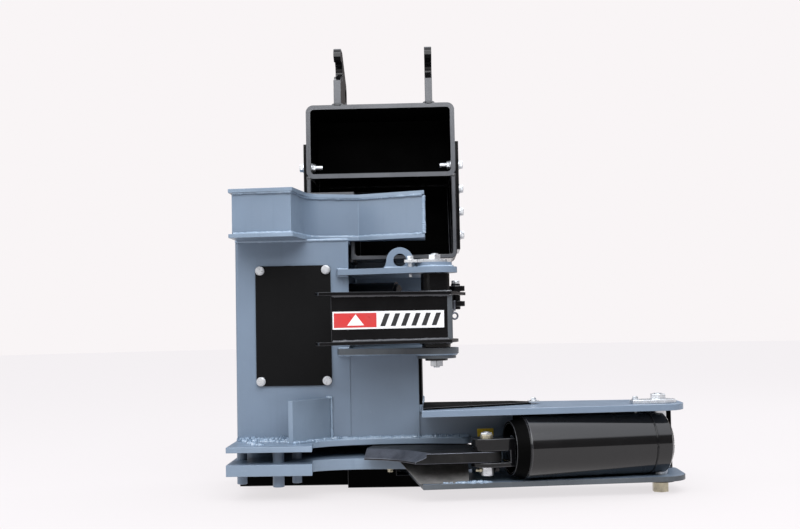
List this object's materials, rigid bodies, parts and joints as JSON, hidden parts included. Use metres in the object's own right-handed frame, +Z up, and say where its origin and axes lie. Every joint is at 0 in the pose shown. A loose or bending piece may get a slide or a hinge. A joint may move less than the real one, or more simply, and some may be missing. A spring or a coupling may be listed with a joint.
{
  "type": "tree shear attachment",
  "caption": "Excavator tree shear: a cylinder drives one pivoting blade through slotted jaw plates, a grapple arm and fixed hook hold the trunk, and bolted ears carry it.",
  "frame": {"origin": "on the blade's pivot axis, at the ground plane under the skids", "axes": "+Z up, +X along the cylinder housing away from the tower, +Y towards the rear wall; the throat opens to -Y"},
  "size_m": [1.161, 0.582, 1.194],
  "materials": {
    "grey_paint": "semi-gloss blue-grey enamel over welded plate",
    "black_paint": "gloss black enamel",
    "satin_black": "satin black powder coat",
    "blade_steel": "dark raw mill steel with a ground bevel",
    "zinc": "bright zinc plate",
    "yellow_zinc": "yellow passivated zinc plate",
    "chrome_rod": "hard chrome plate",
    "marker_vinyl": "glossy vinyl marker"
  },
  "bodies": {
    "frame": {"tower_shell": "grey_paint", "tower_right_plate": "grey_paint", "tower_back_plate": "grey_paint", "pocket_panel": "grey_paint", "upper_jaw_plate": "grey_paint", "lower_jaw_plate": "grey_paint", "front_spacer_bar": "grey_paint", "middle_spacer_bar": "grey_paint", "side_spacer_bar": "grey_paint", "jaw_gusset": "grey_paint", "housing_bottom_plate": "grey_paint", "housing_top_plate": "grey_paint", "housing_back_panel": "grey_paint", "hook_bottom_plate": "grey_paint", "hook_top_plate": "grey_paint", "hook_web": "grey_paint", "upper_arm_bracket": "grey_paint", "lower_arm_bracket": "grey_paint", "hose_eye": "grey_paint", "grapple_anchor": "grey_paint", "pocket_side_plate": "black_paint", "jaw_spacer_block": "black_paint", "left_skid": "black_paint", "right_skid": "black_paint", "guard_panel": "black_paint", "base_pin_washer": "black_paint", "arm_pin_nut": "black_paint", "mount_upper_box": "black_paint", "mount_lower_box": "black_paint", "mount_left_ear": "black_paint", "mount_right_ear": "black_paint", "mount_left_side_plate": "black_paint", "mount_right_side_plate": "black_paint", "access_cover": "satin_black", "base_pin_nut": "yellow_zinc", "cover_bolt_1": "zinc", "cover_bolt_2": "zinc", "cover_bolt_3": "zinc", "cover_bolt_4": "zinc", "arm_pin": "zinc", "base_pin": "zinc", "blade_pin": "zinc", "grapple_anchor_pin": "zinc"},
    "shear_blade": {"shear_blade": "blade_steel"},
    "shear_barrel": {"shear_barrel": "black_paint", "shear_barrel_base": "black_paint", "shear_gland": "black_paint"},
    "shear_rod": {"shear_rod": "chrome_rod", "shear_clevis": "black_paint", "clevis_pin_top": "yellow_zinc", "clevis_pin_bottom": "zinc"},
    "grapple_arm": {"arm_top_plate": "black_paint", "arm_bottom_plate": "black_paint", "arm_front_web": "black_paint", "arm_inner_web": "black_paint", "arm_hub": "black_paint"},
    "grapple_barrel": {"grapple_barrel": "black_paint", "grapple_gland": "black_paint"},
    "grapple_rod": {"grapple_rod": "chrome_rod", "grapple_clevis": "black_paint"}
  },
  "joints": [
    {"name": "blade_swing", "type": "hinge", "parent": "frame", "child": "shear_blade", "pos_m": [0, 0, 0.108], "axis": [0, 0, -1], "range_deg": [0, 52]},
    {"name": "shear_barrel_pivot", "type": "hinge", "parent": "frame", "child": "shear_barrel", "pos_m": [0.617, -0.165, 0.124], "axis": [0, 0, -1], "range_deg": [0, 1.98]},
    {"name": "shear_rod_slide", "type": "slide", "parent": "shear_barrel", "child": "shear_rod", "axis": [-0.9752, -0.2211, 0], "range_m": [0, 0.2782]},
    {"name": "arm_swing", "type": "hinge", "parent": "frame", "child": "grapple_arm", "pos_m": [0.058, -0.16, 0.45], "axis": [0, 0, 1], "range_deg": [0, 62]},
    {"name": "grapple_barrel_pivot", "type": "hinge", "parent": "frame", "child": "grapple_barrel", "pos_m": [-0.294, 0.035, 0.505], "axis": [0, 0, -1], "range_deg": [0, 4.41]},
    {"name": "grapple_rod_slide", "type": "slide", "parent": "grapple_barrel", "child": "grapple_rod", "axis": [-0.9652, 0.2615, 0], "range_m": [0, 0.1]}
  ],
  "couplings": [
    {"joint": "shear_barrel_pivot", "follows": "blade_swing", "ratio": 0.038039},
    {"joint": "shear_rod_slide", "follows": "blade_swing", "m_per_rad": 0.30654},
    {"joint": "grapple_barrel_pivot", "follows": "arm_swing", "ratio": 0.070999},
    {"joint": "grapple_rod_slide", "follows": "arm_swing", "m_per_rad": 0.092246}
  ]
}
